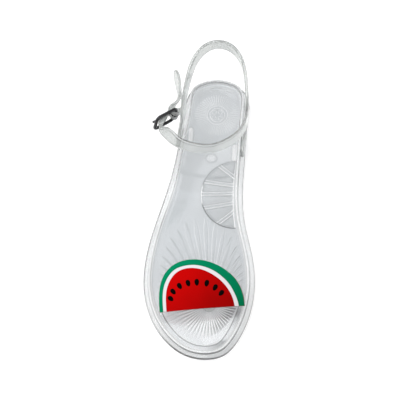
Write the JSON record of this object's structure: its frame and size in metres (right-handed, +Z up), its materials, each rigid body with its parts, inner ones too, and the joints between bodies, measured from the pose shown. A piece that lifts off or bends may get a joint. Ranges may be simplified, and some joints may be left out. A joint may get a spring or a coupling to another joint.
{
  "type": "toe post sandal",
  "caption": "Flat clear moulded plastic toe post sandal for the right foot, with a buckled ankle strap, a heel loop and a melon slice on the toe post.",
  "frame": {"origin": "middle of the overall box at floor height", "axes": "+Y towards the heel, toes towards -Y, +X towards the inner side of the foot, +Z up"},
  "size_m": [0.0932, 0.2512, 0.0802],
  "materials": {
    "clear_pvc": "clear, glossy moulded PVC",
    "strap_pvc": "clear, glossy moulded PVC",
    "post_pvc": "clear, glossy moulded PVC",
    "rind_green": "satin green",
    "pith_white": "satin white",
    "flesh_red": "satin red",
    "seed_black": "satin black",
    "buckle_chrome": "bright plated metal"
  },
  "bodies": {
    "root": {"sole": "clear_pvc", "upper": "strap_pvc", "toe_post": "post_pvc", "fruit_rind": "rind_green", "fruit_pith": "pith_white", "fruit_flesh": "flesh_red", "seed_1": "seed_black", "seed_2": "seed_black", "seed_3": "seed_black", "seed_4": "seed_black", "seed_5": "seed_black", "seed_6": "seed_black", "seed_7": "seed_black", "seed_8": "seed_black", "buckle_frame": "buckle_chrome", "buckle_prong": "buckle_chrome"}
  },
  "joints": []
}
